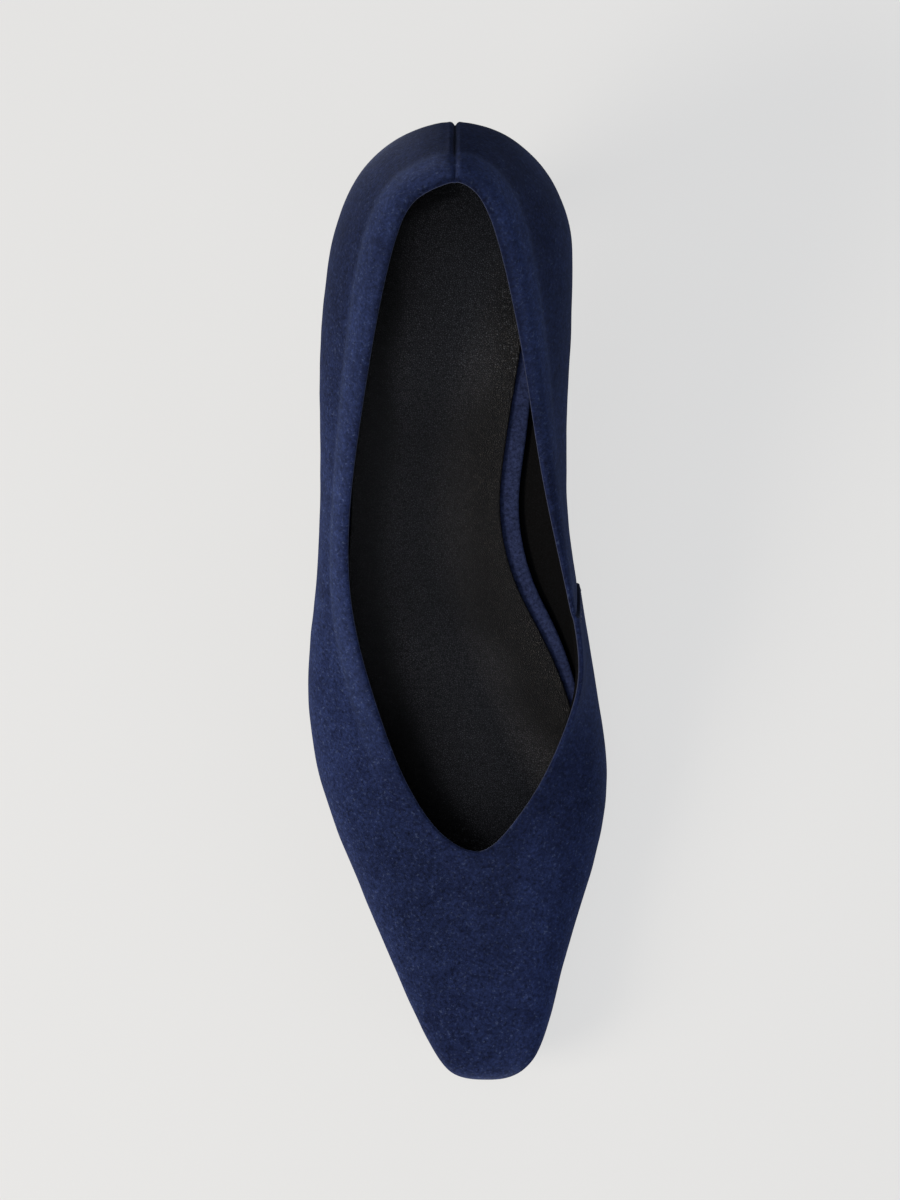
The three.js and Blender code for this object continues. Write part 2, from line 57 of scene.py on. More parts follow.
# Rings by name, from the turned-in margin up the outside, over the rim and down the inside.
MARGIN, FEATHER, RIDGE, TOP = 0, 1, 11, 14
RIM, INNER_TOP, CORNER, MARGIN_TOP = 15, 16, 29, 30
# Where the back seam meets the feather edge, and how far across the inner side begins.
BACK_OF_FEATHER = (-0.56 * MM, 0.124)
INNER_SIDE = 0.02

# Relief of the upper: how far each form stands out or sinks in, in millimetres.
RIDGE_RISE, ROLL_RISE = 0.18, 0.3
SEAM_SINK, LAP_SINK = 0.5, 0.35
# Size and reach of the puckers under the collar, and of the unevenness from handling.
PUCKERS = (2.4 * MM, 0.3 * MM)
HANDLING = (13 * MM, 0.45 * MM)

# How far from a seam its distances are kept.
SEAM_REACH = 6 * MM
# Ribs over which the collar's band fades out on the outer side and comes back on the inner.
OUTER_FADE, INNER_FADE = (8.0, 10.5), (26.5, 28.5)

# Zones of the upper: where each begins and where it is full, along the shoe, across it, or up
# its wall from the ridge.
BAND_UP = (-2.5 * MM, 1.5 * MM)
HEEL_ALONG, TOE_ALONG = (0.01, 0.10), (-0.07, -0.115)
OUTER_LIGHT_ACROSS, OUTER_LIGHT_ALONG = (-0.006, -0.034), (0.10, 0.04)
INNER_LIGHT_ACROSS, INNER_LIGHT_ALONG = (0.010, 0.024), (-0.045, -0.070)
PUCKERS_UP, PUCKERS_ALONG = (-1.5 * MM, 0.5 * MM), (0.03, 0.09)
HANDLING_UP = (-1.0 * MM, -8.0 * MM)
# The nap's own tone, and what the zones add to it: a collar band paled by wear and painted light,
# painted shade towards the heel, and painted light at the toe, on the outer side and at the inner
# side's front.
NAP_TONE, BAND_TONE, HEEL_PAINTED_SHADE, TOE_PAINTED_LIGHT = 0.95, 0.35, -0.27, 0.2
OUTER_PAINTED_LIGHT, INNER_PAINTED_LIGHT = 0.28, 0.38
# How far the collar's band is paled, by wear and painted light, and its ridge, by wear and a painted
# highlight, and how much fainter the seam is there.
BAND_WEAR_AND_LIGHT, RIDGE_WEAR_AND_HIGHLIGHT = 0.10, 0.14
SEAM_FADE = 0.75

# Zones of the sock along the shoe, and how pale each is made, partly by the foot's wear and partly
# by painted light.
HEEL_SEAT, SEAT_END = (0.045, 0.068), (0.080, 0.102)
BALL_SEAT, TOES_SEAT = (0.004, -0.018), (-0.02, -0.05)
SOCK_WEAR_AND_LIGHT, HEEL_WEAR_AND_LIGHT, BALL_WEAR_AND_LIGHT, TOES_WEAR_AND_LIGHT = 0.34, 0.58, 0.4, 0.26

# Stitches of the lapped seam: half their width, length and height, their spacing, and how far
# they lie from the cut edge and from the seam's two ends.
STITCH = (0.17 * MM, 0.6 * MM, 0.12 * MM)
STITCH_SPACING = 1.75 * MM
STITCH_IN = 1.5 * MM
STITCH_FIRST, STITCH_LAST = 3.0 * MM, 1.0 * MM

# Footbed and sock: rows and columns of their sheets, the steps in from an edge in millimetres,
# the width below which these steps shrink, the spare at both ends, and the width of the
# footbed's strip that shows at the arch.
SHEET_ROWS, SHEET_COLUMNS = 64, 22
EDGE_STEPS = (0.0, 0.15, 0.45, 1.0, 2.0, 3.6)
NARROW = 20 * MM
SHEET_SPARE = 0.12 * MM
STRIP = 4.2 * MM

# Patterns of the nap and of the hide, in features to the metre, and how far the hide's drift
# shifts its pebbles, in metres.
HAND_MARKS, MOTTLE, FIBRES, SPECKS = 48.0, 330.0, 1100.0, 1250.0
HIDE_DRIFT, HIDE_UNEVEN, SOLE_UNEVEN = 900.0, 160.0, 60.0
HIDE_SHIFT = 0.0003
SCUFFS, BUFFING = 900.0, 55.0
RUBBER_GRAIN, THREAD_TWIST = 1400.0, 4200.0


# Small tools for modelling.
def deselect():
    for piece in bpy.context.selected_objects:
        piece.select_set(False)


def take(piece):
    """Selects one piece alone and makes it active."""
    if bpy.context.mode != "OBJECT":
        bpy.ops.object.mode_set(mode="OBJECT")
    deselect()
    piece.select_set(True)
    bpy.context.view_layer.objects.active = piece


def edit(piece, choose="SELECT"):
    """Opens a piece for editing, with all of it or none of it selected."""
    take(piece)
    bpy.ops.object.mode_set(mode="EDIT")
    bpy.ops.mesh.select_mode(type="VERT")
    bpy.ops.mesh.select_all(action=choose)


def edit_edges(piece, chosen):
    """Opens a piece for editing, with the edges of these numbers selected."""
    edit(piece, "DESELECT")
    bpy.ops.mesh.select_mode(type="EDGE")
    bpy.ops.object.mode_set(mode="OBJECT")
    for index in chosen:
        piece.data.edges[int(index)].select = True
    bpy.ops.object.mode_set(mode="EDIT")


def close():
    bpy.ops.object.mode_set(mode="OBJECT")


def finish_with(piece, kind, **settings):
    """Adds one modifier and applies it."""
    take(piece)
    modifier = piece.modifiers.new(kind.title(), kind)
    for name, value in settings.items():
        setattr(modifier, name, value)
    bpy.ops.object.modifier_apply(modifier=modifier.name)


def copy_of(node, name):
    """A new piece that starts from a CAD node's shape, with its loose triangles merged."""
    piece = bpy.data.objects.new(name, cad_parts[node].data.copy())
    bpy.context.collection.objects.link(piece)
    piece.data.materials.clear()
    edit(piece)
    bpy.ops.mesh.customdata_custom_splitnormals_clear()
    bpy.ops.mesh.remove_doubles(threshold=0.01 * MM)
    close()
    return piece


def points_of(piece):
    """A piece's vertices as rows of x, y and z."""
    flat = np.zeros(len(piece.data.vertices) * 3)
    piece.data.vertices.foreach_get("co", flat)
    return flat.reshape(-1, 3)


def put_points(piece, points):
    """Moves a piece's vertices to these points."""
    piece.data.vertices.foreach_set("co", np.asarray(points, np.float32).ravel())
    piece.data.update()


def read(piece, name):
    """A point attribute of a piece as numbers."""
    values = np.zeros(len(piece.data.vertices))
    piece.data.attributes[name].data.foreach_get("value", values)
    return values


def write(piece, name, values, domain="POINT"):
    """Keeps numbers as an attribute of a piece's points, or of its edges."""
    attribute = piece.data.attributes.get(name)
    if attribute is None:
        attribute = piece.data.attributes.new(name, "FLOAT", domain)
    attribute.data.foreach_set("value", np.asarray(values, np.float32))


def ramp(values, low, high):
    """Rises smoothly from 0 to 1 between two values, or falls where the first is higher."""
    share = np.clip((values - low) / (high - low), 0.0, 1.0)
    return share * share * (3 - 2 * share)


def bell(values, width):
    """1 where the values are 0, and falling off smoothly on both sides."""
    return np.exp(-((values / width) ** 2))


def run_along(points):
    """How far each point lies along the line that joins them."""
    steps = np.linalg.norm(np.diff(points, axis=0), axis=1)
    return np.concatenate([[0.0], np.cumsum(steps)])


def smooth(piece):
    """Rounds a piece, apart from its creased edges."""
    finish_with(piece, "SUBSURF", levels=SMOOTHING, render_levels=SMOOTHING)


def displace(piece, name, weights, **settings):
    """Moves a surface along its normals, as far as a weight for each vertex lets it."""
    group = piece.vertex_groups.new(name=name)
    for index in np.nonzero(weights > 0.002)[0]:
        group.add([int(index)], float(weights[index]), "REPLACE")
    finish_with(piece, "DISPLACE", vertex_group=name, **settings)
    piece.vertex_groups.clear()


def raise_by(piece, name, amounts):
    """Raises a surface by an amount in metres at each vertex, or sinks it where it is negative."""
    reach = float(np.abs(amounts).max())
    for side, sign in ((name + " up", 1), (name + " down", -1)):
        weights = np.maximum(amounts * sign, 0.0) / reach
        displace(piece, side, weights, strength=sign * reach, mid_level=0.0)


def ruffle(piece, name, weights, size, reach):
    """Gives a surface a soft unevenness of a size and reach in metres."""
    texture = bpy.data.textures.new(name, "CLOUDS")
    texture.noise_scale = size
    texture.noise_depth = 1
    settings = {"texture": texture, "texture_coords": "LOCAL"}
    displace(piece, name, weights, strength=reach, mid_level=0.5, **settings)


def crease(piece, amounts):
    """Gives edges a crease, from a list with an amount for each edge."""
    write(piece, "crease_edge", amounts, "EDGE")


def edge_ends(piece):
    """The two vertices of each edge."""
    mesh = piece.data
    ends = np.zeros(len(mesh.edges) * 2, int)
    mesh.edges.foreach_get("vertices", ends)
    return ends.reshape(-1, 2)


def edge_angles(piece):
    """The angle across each edge, in degrees."""
    mesh = bmesh.new()
    mesh.from_mesh(piece.data)
    angles = [math.degrees(edge.calc_face_angle(0.0)) for edge in mesh.edges]
    mesh.free()
    return np.array(angles)


def ride_as(piece, node, slot, *materials):
    """A finished piece stands for its CAD node and rides on the shoe's one body."""
    for material in materials:
        piece.data.materials.append(material)
    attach(piece, "root")
    if node:
        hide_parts(node)


# Small tools for materials.
def feed(tree, made, inputs):
    """Gives each input of a node a plain value or another node's output."""
    for name, value in inputs.items():
        if isinstance(value, bpy.types.NodeSocket):
            tree.links.new(value, made.inputs[name])
        else:
            made.inputs[name].default_value = value


def node(tree, kind, inputs=None, **settings):
    """Adds a node with its settings and inputs."""
    made = tree.nodes.new(kind)
    for name, value in settings.items():
        setattr(made, name, value)
    feed(tree, made, inputs or {})
    return made


def maths(tree, operation, first, second=0.0, clamp=False):
    """A sum, product or other result of two values."""
    made = node(tree, "ShaderNodeMath", {0: first, 1: second}, operation=operation, use_clamp=clamp)
    return made.outputs[0]


def blend(tree, share, first, second, kind="MIX"):
    """A colour between two others."""
    inputs = {0: share, 6: first, 7: second}
    made = node(tree, "ShaderNodeMix", inputs, data_type="RGBA", blend_type=kind)
    return made.outputs[2]


def stretch(tree, value, low, high, to_low=0.0, to_high=1.0):
    """Maps one range of a value to another, and holds it at the ends."""
    inputs = {"Value": value, "From Min": low, "From Max": high, "To Min": to_low, "To Max": to_high}
    return node(tree, "ShaderNodeMapRange", inputs).outputs[0]


def noise(tree, place, scale, detail=2.0, roughness=0.5, distortion=0.0):
    """A soft random pattern with so many features to the metre."""
    inputs = {
        "Vector": place,
        "Scale": scale,
        "Detail": detail,
        "Roughness": roughness,
        "Distortion": distortion,
    }
    return node(tree, "ShaderNodeTexNoise", inputs).outputs["Fac"]


def new_group(name, inputs, outputs):
    """An empty node group with named sockets, and its two end nodes."""
    group = bpy.data.node_groups.new(name, "ShaderNodeTree")
    kinds = {"color": "NodeSocketColor", "vector": "NodeSocketVector", "value": "NodeSocketFloat"}
    for label, kind in inputs:
        group.interface.new_socket(label, in_out="INPUT", socket_type=kinds[kind])
    for label, kind in outputs:
        group.interface.new_socket(label, in_out="OUTPUT", socket_type=kinds[kind])
    start = group.nodes.new("NodeGroupInput")
    end = group.nodes.new("NodeGroupOutput")
    return group, start.outputs, end.inputs


def place_group(tree, group, inputs):
    """Puts a node group in a material, with its own values."""
    made = tree.nodes.new("ShaderNodeGroup")
    made.node_tree = group
    feed(tree, made, inputs)
    return made.outputs


def new_material(name, **shader):
    """A material with one Principled shader, and the coordinates that its patterns read."""
    material = bpy.data.materials.new(name)
    material.use_nodes = True
    tree = material.node_tree
    principled = tree.nodes["Principled BSDF"]
    for label, value in shader.items():
        principled.inputs[label.replace("_", " ")].default_value = value
    place = tree.nodes.new("ShaderNodeTexCoord").outputs["Object"]
    return material, tree, principled, place


def emboss(tree, principled, height, depth):
    """Feeds a height to the shader's normal, with its depth in metres."""
    bump = node(tree, "ShaderNodeBump", {"Strength": 1.0, "Distance": depth, "Height": height})
    tree.links.new(bump.outputs["Normal"], principled.inputs["Normal"])


def grey(tree, value):
    """A colour with one value in all three channels."""
    return node(tree, "ShaderNodeCombineColor", {0: value, 1: value, 2: value}).outputs[0]


def attribute(tree, name):
    """What a piece's attribute says at each point."""
    return node(tree, "ShaderNodeAttribute", attribute_name=name).outputs["Fac"]


def nap_group():
    """Suede: a short nap that lies in soft patches, with lighter and darker fibres."""
    group, given, made = new_group(
        "Suede nap",
        [
            ("Place", "vector"),
            ("Deep", "color"),
            ("Nap", "color"),
            ("Bloom", "color"),
            ("Patches", "value"),
            ("Flecks", "value"),
        ],
        [("Color", "color"), ("Height", "value")],
    )
    tree = group
    place = given["Place"]
    hand_marks = stretch(tree, noise(tree, place, HAND_MARKS, 3.0, 0.6, 1.2), 0.36, 0.64)
    mottle = stretch(tree, noise(tree, place, MOTTLE, 5.0, 0.8, 0.6), 0.34, 0.66)
    fibre = noise(tree, place, FIBRES, 3.0, 0.75)
    speck = noise(tree, place, SPECKS, 1.0, 0.6)
    tone = maths(tree, "MULTIPLY", hand_marks, 0.35)
    tone = maths(tree, "ADD", tone, maths(tree, "MULTIPLY", mottle, 0.65))
    tone = maths(tree, "SUBTRACT", tone, 0.5)
    tone = maths(tree, "MULTIPLY", tone, given["Patches"])
    tone = maths(tree, "ADD", tone, 0.5, clamp=True)
    cloth = blend(tree, tone, given["Deep"], given["Nap"])
    fine = stretch(tree, fibre, 0.32, 0.68, 0.45, 1.55)
    cloth = blend(tree, 1.0, cloth, grey(tree, fine), "MULTIPLY")
    lifted = maths(tree, "MULTIPLY", stretch(tree, mottle, 0.2, 0.8, 0.3, 1.0), given["Flecks"])
    bright = maths(tree, "MULTIPLY", stretch(tree, speck, 0.62, 0.72), lifted)
    cloth = blend(tree, bright, cloth, given["Bloom"])
    dark = maths(tree, "MULTIPLY", stretch(tree, speck, 0.36, 0.26), given["Flecks"])
    shadow = blend(tree, 0.65, given["Deep"], (0, 0, 0, 1))
    cloth = blend(tree, dark, cloth, shadow)
    height = maths(tree, "MULTIPLY", fibre, 0.65)
    height = maths(tree, "ADD", height, maths(tree, "MULTIPLY", mottle, 0.35))
    tree.links.new(cloth, made["Color"])
    tree.links.new(height, made["Height"])
    return group


def grain_group():
    """Leather: small pebbles between creases, on a softly uneven hide."""
    group, given, made = new_group(
        "Leather grain",
        [("Place", "vector"), ("Pebbles", "value"), ("Hide", "value")],
        [("Height", "value"), ("Pores", "value"), ("Sparkle", "value")],
    )
    tree = group
    drift = noise(tree, given["Place"], HIDE_DRIFT, 2.0)
    slant = node(tree, "ShaderNodeCombineXYZ", {0: drift, 1: drift, 2: drift}).outputs[0]
    shift = {0: slant, "Scale": HIDE_SHIFT}
    bent = node(tree, "ShaderNodeVectorMath", shift, operation="SCALE").outputs[0]
    shifted = {0: given["Place"], 1: bent}
    place = node(tree, "ShaderNodeVectorMath", shifted, operation="ADD").outputs[0]
    cells = {"Vector": place, "Scale": given["Pebbles"]}
    edges = node(tree, "ShaderNodeTexVoronoi", cells, feature="DISTANCE_TO_EDGE")
    pebble = stretch(tree, edges.outputs["Distance"], 0.0, 0.35)
    whole = node(tree, "ShaderNodeTexVoronoi", cells)
    own_tone = node(tree, "ShaderNodeSeparateColor", {0: whole.outputs["Color"]}).outputs[0]
    uneven = noise(tree, given["Place"], given["Hide"], 3.0, 0.5)
    height = maths(tree, "ADD", maths(tree, "MULTIPLY", pebble, 0.5), uneven)
    tree.links.new(height, made["Height"])
    tree.links.new(maths(tree, "SUBTRACT", 1.0, pebble), made["Pores"])
    tree.links.new(maths(tree, "MULTIPLY", own_tone, pebble), made["Sparkle"])
    return group


NAP = nap_group()
GRAIN = grain_group()

# Navy, as the picture shows it: the shaded fold of the nap, its lit face, and loose fibres.
# Then the seams' shade and the cut edge, the footbed's paler nap, and the blacks: of the hide, its
# pores, its pebbles' painted highlights and pale scuffs, the sock's unworn part darkened as painted
# shade, its part paled by wear and painted light, and the lining.
NAVY_DEEP = (0.0028, 0.0050, 0.0225, 1)
NAVY_NAP = (0.0140, 0.0228, 0.0760, 1)
NAVY_BLOOM = (0.048, 0.066, 0.135, 1)
SEAM_SHADE = (0.0010, 0.0012, 0.0050, 1)
CUT_EDGE = (0.0520, 0.0600, 0.1050, 1)
PAD_DEEP = (0.0150, 0.0215, 0.0620, 1)
PAD_NAP = (0.0310, 0.0420, 0.1120, 1)
BLACK_FACE = (0.0150, 0.0138, 0.0152, 1)
BLACK_PORE = (0.0016, 0.0015, 0.0018, 1)
BLACK_LIT = (0.1000, 0.1060, 0.1180, 1)
BLACK_UNWORN_AND_SHADED = (0.0040, 0.0038, 0.0050, 1)
BLACK_WORN_AND_LIT = (0.0960, 0.0940, 0.1080, 1)
LINING_FACE = (0.0020, 0.0022, 0.0032, 1)
LINING_PORE = (0.0012, 0.0012, 0.0014, 1)


def suede(name, patches, flecks, depth, deep=NAVY_DEEP, face=NAVY_NAP):
    """Navy suede, without the marks that belong to one piece."""
    material, tree, principled, place = new_material(
        name,
        Roughness=0.95,
        Diffuse_Roughness=1.0,
        IOR=1.4,
        Specular_IOR_Level=0.05,
        Sheen_Weight=0.11,
        Sheen_Roughness=0.5,
        Sheen_Tint=(0.52, 0.62, 1.0, 1),
    )
    nap = place_group(
        tree,
        NAP,
        {
            "Place": place,
            "Deep": deep,
            "Nap": face,
            "Bloom": NAVY_BLOOM,
            "Patches": patches,
            "Flecks": flecks,
        },
    )
    tree.links.new(nap["Color"], principled.inputs["Base Color"])
    emboss(tree, principled, nap["Height"], depth)
    return material, tree, principled, nap


def upper_suede():
    """The upper's suede carries painted light and shade by zone in its tone, is paled on the collar
    by wear and painted light, with a painted highlight on the ridge, and is dark in its seams.
    """
    material, tree, principled, nap = suede(
        "Suede of the upper", patches=0.8, flecks=0.6, depth=0.12 * MM
    )
    tone = attribute(tree, "tone")
    # Painted light and shade by zone, from the tone attribute.
    cloth = blend(tree, 1.0, nap["Color"], grey(tree, tone), "MULTIPLY")
    # The collar's band and ridge are paled towards the bloom: wear, with painted light on the band
    # and a painted highlight on the ridge.
    cloth = blend(tree, attribute(tree, "wear_and_painted_light"), cloth, NAVY_BLOOM)
    back = stretch(tree, attribute(tree, "from_back_seam"), 0.15 * MM, 0.5 * MM, 0.9, 0.0)
    back = maths(tree, "MULTIPLY", back, attribute(tree, "back_seam"))
    beside = maths(tree, "SUBTRACT", attribute(tree, "from_side_seam"), 0.5 * MM)
    beside = maths(tree, "ABSOLUTE", beside)
    side = stretch(tree, beside, 0.5 * MM, 0.75 * MM, 0.95, 0.0)
    side = maths(tree, "MULTIPLY", side, attribute(tree, "inner_side"))
    seams = maths(tree, "MAXIMUM", back, side)
    cloth = blend(tree, seams, cloth, SEAM_SHADE)
    cut = stretch(tree, attribute(tree, "cut_edge"), 0.72, 0.92, 0.0, 0.8)
    cloth = blend(tree, cut, cloth, CUT_EDGE)
    tree.links.new(cloth, principled.inputs["Base Color"])
    return material


def heel_suede():
    """The heel's cover has a close join down its breast."""
    material, tree, principled, nap = suede(
        "Suede of the heel", patches=0.8, flecks=0.6, depth=0.12 * MM
    )
    join = stretch(tree, attribute(tree, "from_join"), 0.15 * MM, 0.45 * MM, 0.85, 0.0)
    cloth = blend(tree, join, nap["Color"], SEAM_SHADE)
    tree.links.new(cloth, principled.inputs["Base Color"])
    return material


def sole_leather():
    """Smooth black sole leather, buffed dull in the tread and lightly scuffed lengthways."""
    material, tree, principled, place = new_material(
        "Sole leather", Base_Color=BLACK_FACE, Roughness=0.45, IOR=1.5, Specular_IOR_Level=0.4
    )
    grain = place_group(tree, GRAIN, {"Place": place, "Pebbles": 2600.0, "Hide": SOLE_UNEVEN})
    drawn = node(tree, "ShaderNodeMapping", {"Vector": place, "Scale": (1.0, 0.12, 1.0)}).outputs[0]
    scuffs = stretch(tree, noise(tree, drawn, SCUFFS, 3.0, 0.6, 0.4), 0.60, 0.74)
    buffed = stretch(tree, noise(tree, place, BUFFING, 3.0, 0.6), 0.35, 0.65)
    worn = maths(tree, "MULTIPLY", scuffs, buffed)
    tone = blend(tree, grain["Pores"], BLACK_FACE, BLACK_PORE)
    tone = blend(tree, maths(tree, "MULTIPLY", worn, 0.5), tone, BLACK_LIT)
    rough = stretch(tree, buffed, 0.0, 1.0, 0.34, 0.5)
    rough = maths(tree, "ADD", rough, maths(tree, "MULTIPLY", worn, 0.2))
    tree.links.new(tone, principled.inputs["Base Color"])
    tree.links.new(rough, principled.inputs["Roughness"])
    height = maths(tree, "SUBTRACT", grain["Height"], maths(tree, "MULTIPLY", worn, 0.6))
    emboss(tree, principled, height, 0.04 * MM)
    return material


def hide(name, pebbles, depth, roughness, shine, face, pore, lit=None):
    """Leather with a grain of so many pebbles to the metre, paler on them than between.
    A sock is paler where the foot stands, partly by wear and partly by painted light, and stays dark
    beside the collar as a painted shadow, as an attribute says; some of its pebbles get a painted
    highlight where its lit attribute lets them."""
    material, tree, principled, place = new_material(
        name, Base_Color=face, Roughness=roughness, IOR=1.5, Specular_IOR_Level=shine
    )
    grain = place_group(tree, GRAIN, {"Place": place, "Pebbles": pebbles, "Hide": HIDE_UNEVEN})
    if lit:
        principled.inputs["Specular Tint"].default_value = (0.93, 0.94, 1.0, 1)
        # Painted light and shade: the sock is paler where the foot stands, partly wear, and darkest
        # in a painted shadow beside the collar.
        face = blend(tree, attribute(tree, "trodden_and_painted_light"), BLACK_UNWORN_AND_SHADED, BLACK_WORN_AND_LIT)
    emboss(tree, principled, grain["Height"], depth)
    rough = stretch(tree, grain["Pores"], 0.0, 1.0, roughness - 0.06, roughness + 0.14)
    tree.links.new(rough, principled.inputs["Roughness"])
    tone = blend(tree, grain["Pores"], face, pore)
    if lit:
        # Painted highlight: pebbles are paled towards the lit black where the lit attribute allows.
        spark = stretch(tree, grain["Sparkle"], 0.2, 0.8)
        spark = maths(tree, "MULTIPLY", spark, attribute(tree, "lit"))
        tone = blend(tree, spark, tone, lit)
    tree.links.new(tone, principled.inputs["Base Color"])
    return material


def lift_rubber():
    """Matt black rubber with a fine grain."""
    material, tree, principled, place = new_material(
        "Lift rubber", Base_Color=(0.012, 0.012, 0.012, 1), Roughness=0.6
    )
    fine = noise(tree, place, RUBBER_GRAIN, 3.0)
    emboss(tree, principled, fine, 0.04 * MM)
    return material


def thread_material():
    """Navy thread, twisted from paler and darker strands."""
    material, tree, principled, place = new_material(
        "Navy thread", Roughness=0.6, Sheen_Weight=0.3
    )
    twist = noise(tree, place, THREAD_TWIST, 1.0)
    cloth = blend(tree, twist, (0.010, 0.012, 0.040, 1), (0.030, 0.036, 0.100, 1))
    tree.links.new(cloth, principled.inputs["Base Color"])
    emboss(tree, principled, twist, 0.05 * MM)
    return material


# The upper's grid, found again in its triangles.
def turns_of(piece):
    """For each vertex, the neighbour that follows another one round it."""
    turn = {}
    for face in piece.data.polygons:
        a, b, c = face.vertices
        turn[a, b] = c
        turn[b, c] = a
        turn[c, a] = b
    return turn


def straight_on(turn, behind, here):
    """Every vertex of the grid has six neighbours, so the third round is straight ahead."""
    ahead = behind
    for _ in range(3):
        ahead = turn[here, ahead]
    return ahead


def loop_from(turn, start, second, longest):
    """The vertices met by walking straight on until the start comes round again."""
    line = [start, second]
    while len(line) <= longest:
        ahead = straight_on(turn, line[-2], line[-1])
        if ahead == start:
            return line
        line.append(ahead)
    return None


def column_ribs():
    """Where each column lies, in ribs from the back seam."""
    even = [i / COLUMNS_PER_RIB for i in range(RIBS * COLUMNS_PER_RIB)]
    back = [(step * BACK_SEAM_STEP) % RIBS for step in (-2, -1, 1, 2)]
    side = [SIDE_SEAM_RIB - SIDE_SEAM_STEP, SIDE_SEAM_RIB + SIDE_SEAM_STEP]
    return np.array(sorted(even + back + side))


def grid_of(piece):
    """The upper's vertices as rings by columns, from the margin up, starting at the back seam
    and running along the outer side first."""
    ribs = column_ribs()
    turn = turns_of(piece)
    points = points_of(piece)
    start = 0
    around = [turn_to for (here, turn_to) in turn if here == start]
    loops = {b: loop_from(turn, start, b, len(ribs)) for b in around}
    climb = next(b for b, loop in loops.items() if loop and len(loop) == RINGS)
    grid = []
    for here, ahead in zip(loops[climb], loops[climb][1:] + [start]):
        side = ahead
        for _ in range(6):
            side = turn[here, side]
            ring = loop_from(turn, here, side, len(ribs))
            if ring and len(ring) == len(ribs):
                break
        grid.append(ring)
    grid = np.array(grid)
    # The rim is the highest ring, and the ring outside it is the longer of its neighbours.
    heights = points[grid][:, :, 2].mean(axis=1)
    rim = int(heights.argmax())
    girth = [np.linalg.norm(np.diff(points[ring], axis=0), axis=1).sum() for ring in grid]
    step = 1 if girth[(rim + 1) % RINGS] > girth[rim - 1] else -1
    grid = np.array([grid[(rim + step * (RIM - i)) % RINGS] for i in range(RINGS)])
    # The column up the back is found on the feather edge, which the seam doesn't groove.
    feather = points[grid[FEATHER]]
    off = feather[:, :2] - np.array(BACK_OF_FEATHER)
    back = int(np.hypot(off[:, 0], off[:, 1]).argmin())
    grid = np.roll(grid, -back, axis=1)
    if points[grid[FEATHER, 5], 0] > 0:
        grid = np.roll(grid[:, ::-1], 1, axis=1)
    return grid


def make_upper():
    """The upper's own shape as a net of squares, each point marked with its ring and column."""
    upper = copy_of("upper", "upper_suede")
    grid = grid_of(upper)
    ribs = column_ribs()
    points = points_of(upper)
    count = len(points)
    ring_of = np.zeros(count)
    column_of = np.zeros(count, int)
    for r in range(RINGS):
        ring_of[grid[r]] = r
        column_of[grid[r]] = np.arange(len(ribs))
    # Squares instead of triangles: an edge that leaves both its ring and its column goes.
    ends = edge_ends(upper)
    same_ring = ring_of[ends[:, 0]] == ring_of[ends[:, 1]]
    same_column = column_of[ends[:, 0]] == column_of[ends[:, 1]]
    write(upper, "ring", ring_of)
    write(upper, "column", column_of)
    edit_edges(upper, np.nonzero(~(same_ring | same_column))[0])
    bpy.ops.mesh.dissolve_edges(use_verts=False)
    close()
    return upper, grid, ribs


suede_upper = upper_suede()
lining = hide(
    "Lining leather",
    pebbles=1700.0,
    depth=0.05 * MM,
    roughness=0.75,
    shine=0.04,
    face=LINING_FACE,
    pore=LINING_PORE,
)
sock_hide = hide(
    "Sock leather",
    pebbles=2100.0,
    depth=0.16 * MM,
    roughness=0.38,
    shine=0.20,
    face=BLACK_FACE,
    pore=BLACK_PORE,
    lit=BLACK_LIT,
)
sole_hide = sole_leather()
suede_heel = heel_suede()
suede_footbed = suede(
    "Suede of the footbed", patches=0.5, flecks=0.3, depth=0.08 * MM, deep=PAD_DEEP, face=PAD_NAP
)[0]
rubber = lift_rubber()
thread = thread_material()



def measure_upper(upper, base, grid, ribs, lap):
    """Writes where each point of the upper lies, for its relief and its suede."""
    ring_of = read(upper, "ring")
    rib_of = ribs[read(upper, "column").astype(int)]
    # How far up its column each point lies from the collar's ridge, in metres.
    climb = np.zeros(len(base))
    for column in grid.T:
        run = run_along(base[column[: RIM + 1]])
        climb[column[: RIM + 1]] = run - run[RIDGE]
        climb[column[RIM + 1 :]] = run[RIM] - run[RIDGE]
    # How far round the shoe each point lies from the back seam and from the lapped edge.
    from_back_seam = np.zeros(len(base))
    from_side_seam = np.zeros(len(base))
    for ring in grid:
        run = run_along(base[np.append(ring, ring[0])])
        either_way = np.minimum(run[:-1], run[-1] - run[:-1])
        from_back_seam[ring] = np.minimum(either_way, SEAM_REACH)
        from_side_seam[ring] = np.clip(run[:-1] - run[lap], -SEAM_REACH, SEAM_REACH)
    outer_band = 1.0 - ramp(rib_of, *OUTER_FADE)
    inner_band = ramp(rib_of, *INNER_FADE)
    write(upper, "climb", climb)
    write(upper, "from_back_seam", from_back_seam)
    write(upper, "from_side_seam", from_side_seam)
    write(upper, "cut_edge", ring_of == INNER_TOP)
    write(upper, "outside", (ring_of >= FEATHER) & (ring_of <= TOP))
    write(upper, "collar", np.maximum(outer_band, inner_band))


def line_upper(upper):
    """Suede up to and over the rim, and the lining inside."""
    ring_of = read(upper, "ring")
    for face in upper.data.polygons:
        rings = [ring_of[v] for v in face.vertices]
        wraps = max(rings) - min(rings) > 2
        face.material_index = 1 if wraps or min(rings) >= INNER_TOP else 0
        face.use_smooth = True


